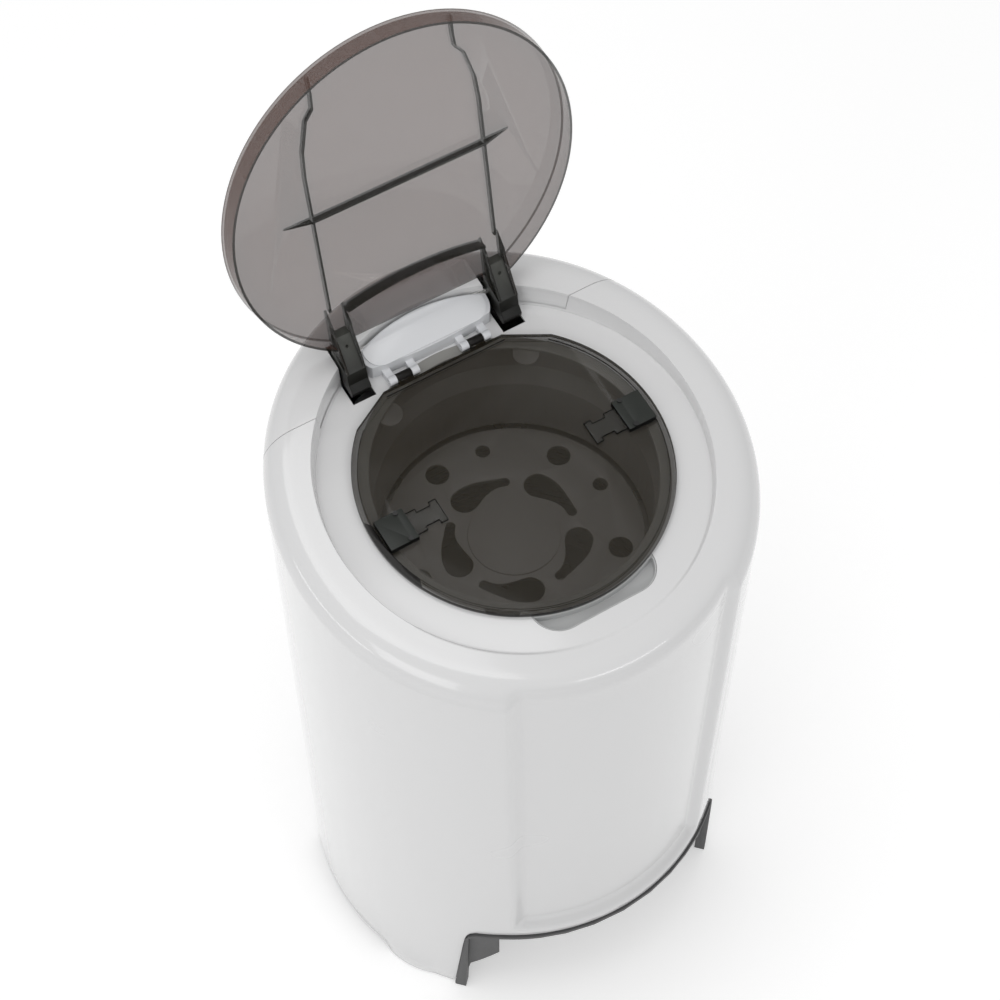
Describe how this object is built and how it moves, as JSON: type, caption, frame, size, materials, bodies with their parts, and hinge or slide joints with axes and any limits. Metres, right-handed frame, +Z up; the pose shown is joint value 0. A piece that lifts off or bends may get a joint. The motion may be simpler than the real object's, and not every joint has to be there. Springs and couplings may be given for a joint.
{
  "type": "laundry spin dryer",
  "caption": "Round top-loading spin dryer: white cabinet on a charcoal base, smoked outer lid on two arms, latched smoked inner lid, motor-driven basket with lid-worked brake.",
  "frame": {"origin": "on the floor under the basket's axis, which is the middle of the round cabinet", "axes": "+Z up, -Y towards the front arch and the drain spout, +X to the viewer's right when the front is faced"},
  "size_m": [0.469, 0.4788, 1.1049],
  "materials": {
    "white_cabinet": "satin",
    "white_cover": "satin",
    "grey_cup": "matte",
    "charcoal_base": "fine texture",
    "rubber": "matte",
    "smoked_lid": "clear, polished",
    "smoked_inner_lid": "clear, polished",
    "dark_arm": "polished",
    "dark_latch": "satin",
    "clear_slider": "clear",
    "steel": "satin",
    "stainless_basket": "satin",
    "grey_plastic": "satin",
    "tub_plastic": "satin",
    "cast_aluminium": "as cast",
    "motor_steel": "satin",
    "painted_steel": "satin",
    "aluminium_can": "satin"
  },
  "bodies": {
    "cabinet": {"cabinet_shell": "white_cabinet", "sunk_collar": "white_cabinet", "rear_hinge_cover": "white_cover", "hinge_console": "white_cover", "console_plate": "white_cover", "finger_cup": "grey_cup", "collar_funnel": "grey_plastic", "base_frame": "charcoal_base", "rubber_feet": "rubber", "cord_gland": "rubber", "lid_pivot_pins": "steel", "inner_hinge_pins": "steel", "outer_tub": "tub_plastic", "tub_columns": "painted_steel", "shaft_seal": "rubber", "drain_spout": "grey_plastic", "upper_bearing": "steel", "lower_bearing": "steel", "motor_stator": "motor_steel", "upper_end_bell": "cast_aluminium", "lower_end_bell": "cast_aluminium", "motor_plate": "painted_steel", "rubber_dampers": "rubber", "damper_studs": "steel", "brake_bracket": "painted_steel", "brake_pin": "steel", "rod_guide": "painted_steel", "interlock_switch": "charcoal_base", "start_capacitor": "aluminium_can", "capacitor_clip": "painted_steel"},
    "outer_lid": {"outer_lid": "smoked_lid", "left_lid_arm": "dark_arm", "right_lid_arm": "dark_arm", "lid_arm_screws": "steel"},
    "inner_lid": {"inner_lid": "smoked_inner_lid", "latch_housings": "dark_latch", "latch_screws": "steel"},
    "left_latch": {"left_latch_slider": "clear_slider"},
    "right_latch": {"right_latch_slider": "clear_slider"},
    "basket": {"basket": "stainless_basket", "basket_hub": "cast_aluminium", "hub_nut": "steel", "drive_shaft": "steel", "motor_rotor": "steel", "brake_disc": "steel"},
    "press_disc": {"press_disc": "grey_plastic"},
    "brake_rod": {"brake_rod": "steel"},
    "brake_lever": {"brake_lever": "painted_steel", "brake_shoe": "rubber"}
  },
  "joints": [
    {"name": "outer_lid_hinge", "type": "hinge", "parent": "cabinet", "child": "outer_lid", "pos_m": [0, 0.176, 0.75196], "axis": [-1, 0, 0], "range_deg": [-104.8, 0]},
    {"name": "inner_lid_hinge", "type": "hinge", "parent": "cabinet", "child": "inner_lid", "pos_m": [0, 0.13979, 0.73673], "axis": [-1, 0, 0], "range_deg": [0, 92]},
    {"name": "left_latch_slide", "type": "slide", "parent": "inner_lid", "child": "left_latch", "axis": [-1, 0, 0], "range_m": [0, 0.007]},
    {"name": "right_latch_slide", "type": "slide", "parent": "inner_lid", "child": "right_latch", "axis": [1, 0, 0], "range_m": [0, 0.007]},
    {"name": "basket_spin", "type": "hinge", "parent": "cabinet", "child": "basket", "pos_m": [0, 0, 0.345], "axis": [0, 0, 1], "continuous": true},
    {"name": "press_disc_lift", "type": "slide", "parent": "basket", "child": "press_disc", "axis": [0, 0, 1], "range_m": [0, 0.085]},
    {"name": "brake_rod_slide", "type": "slide", "parent": "cabinet", "child": "brake_rod", "axis": [0, 0, 1], "range_m": [-0.0061, 0]},
    {"name": "brake_lever_hinge", "type": "hinge", "parent": "cabinet", "child": "brake_lever", "pos_m": [0.06529, 0.15684, 0.2955], "axis": [-0.9232, 0.3843, 0], "range_deg": [0, 7]}
  ],
  "couplings": [
    {"joint": "brake_rod_slide", "follows": "outer_lid_hinge", "m_per_rad": 0.00328},
    {"joint": "brake_lever_hinge", "follows": "outer_lid_hinge", "ratio": -0.0657}
  ]
}
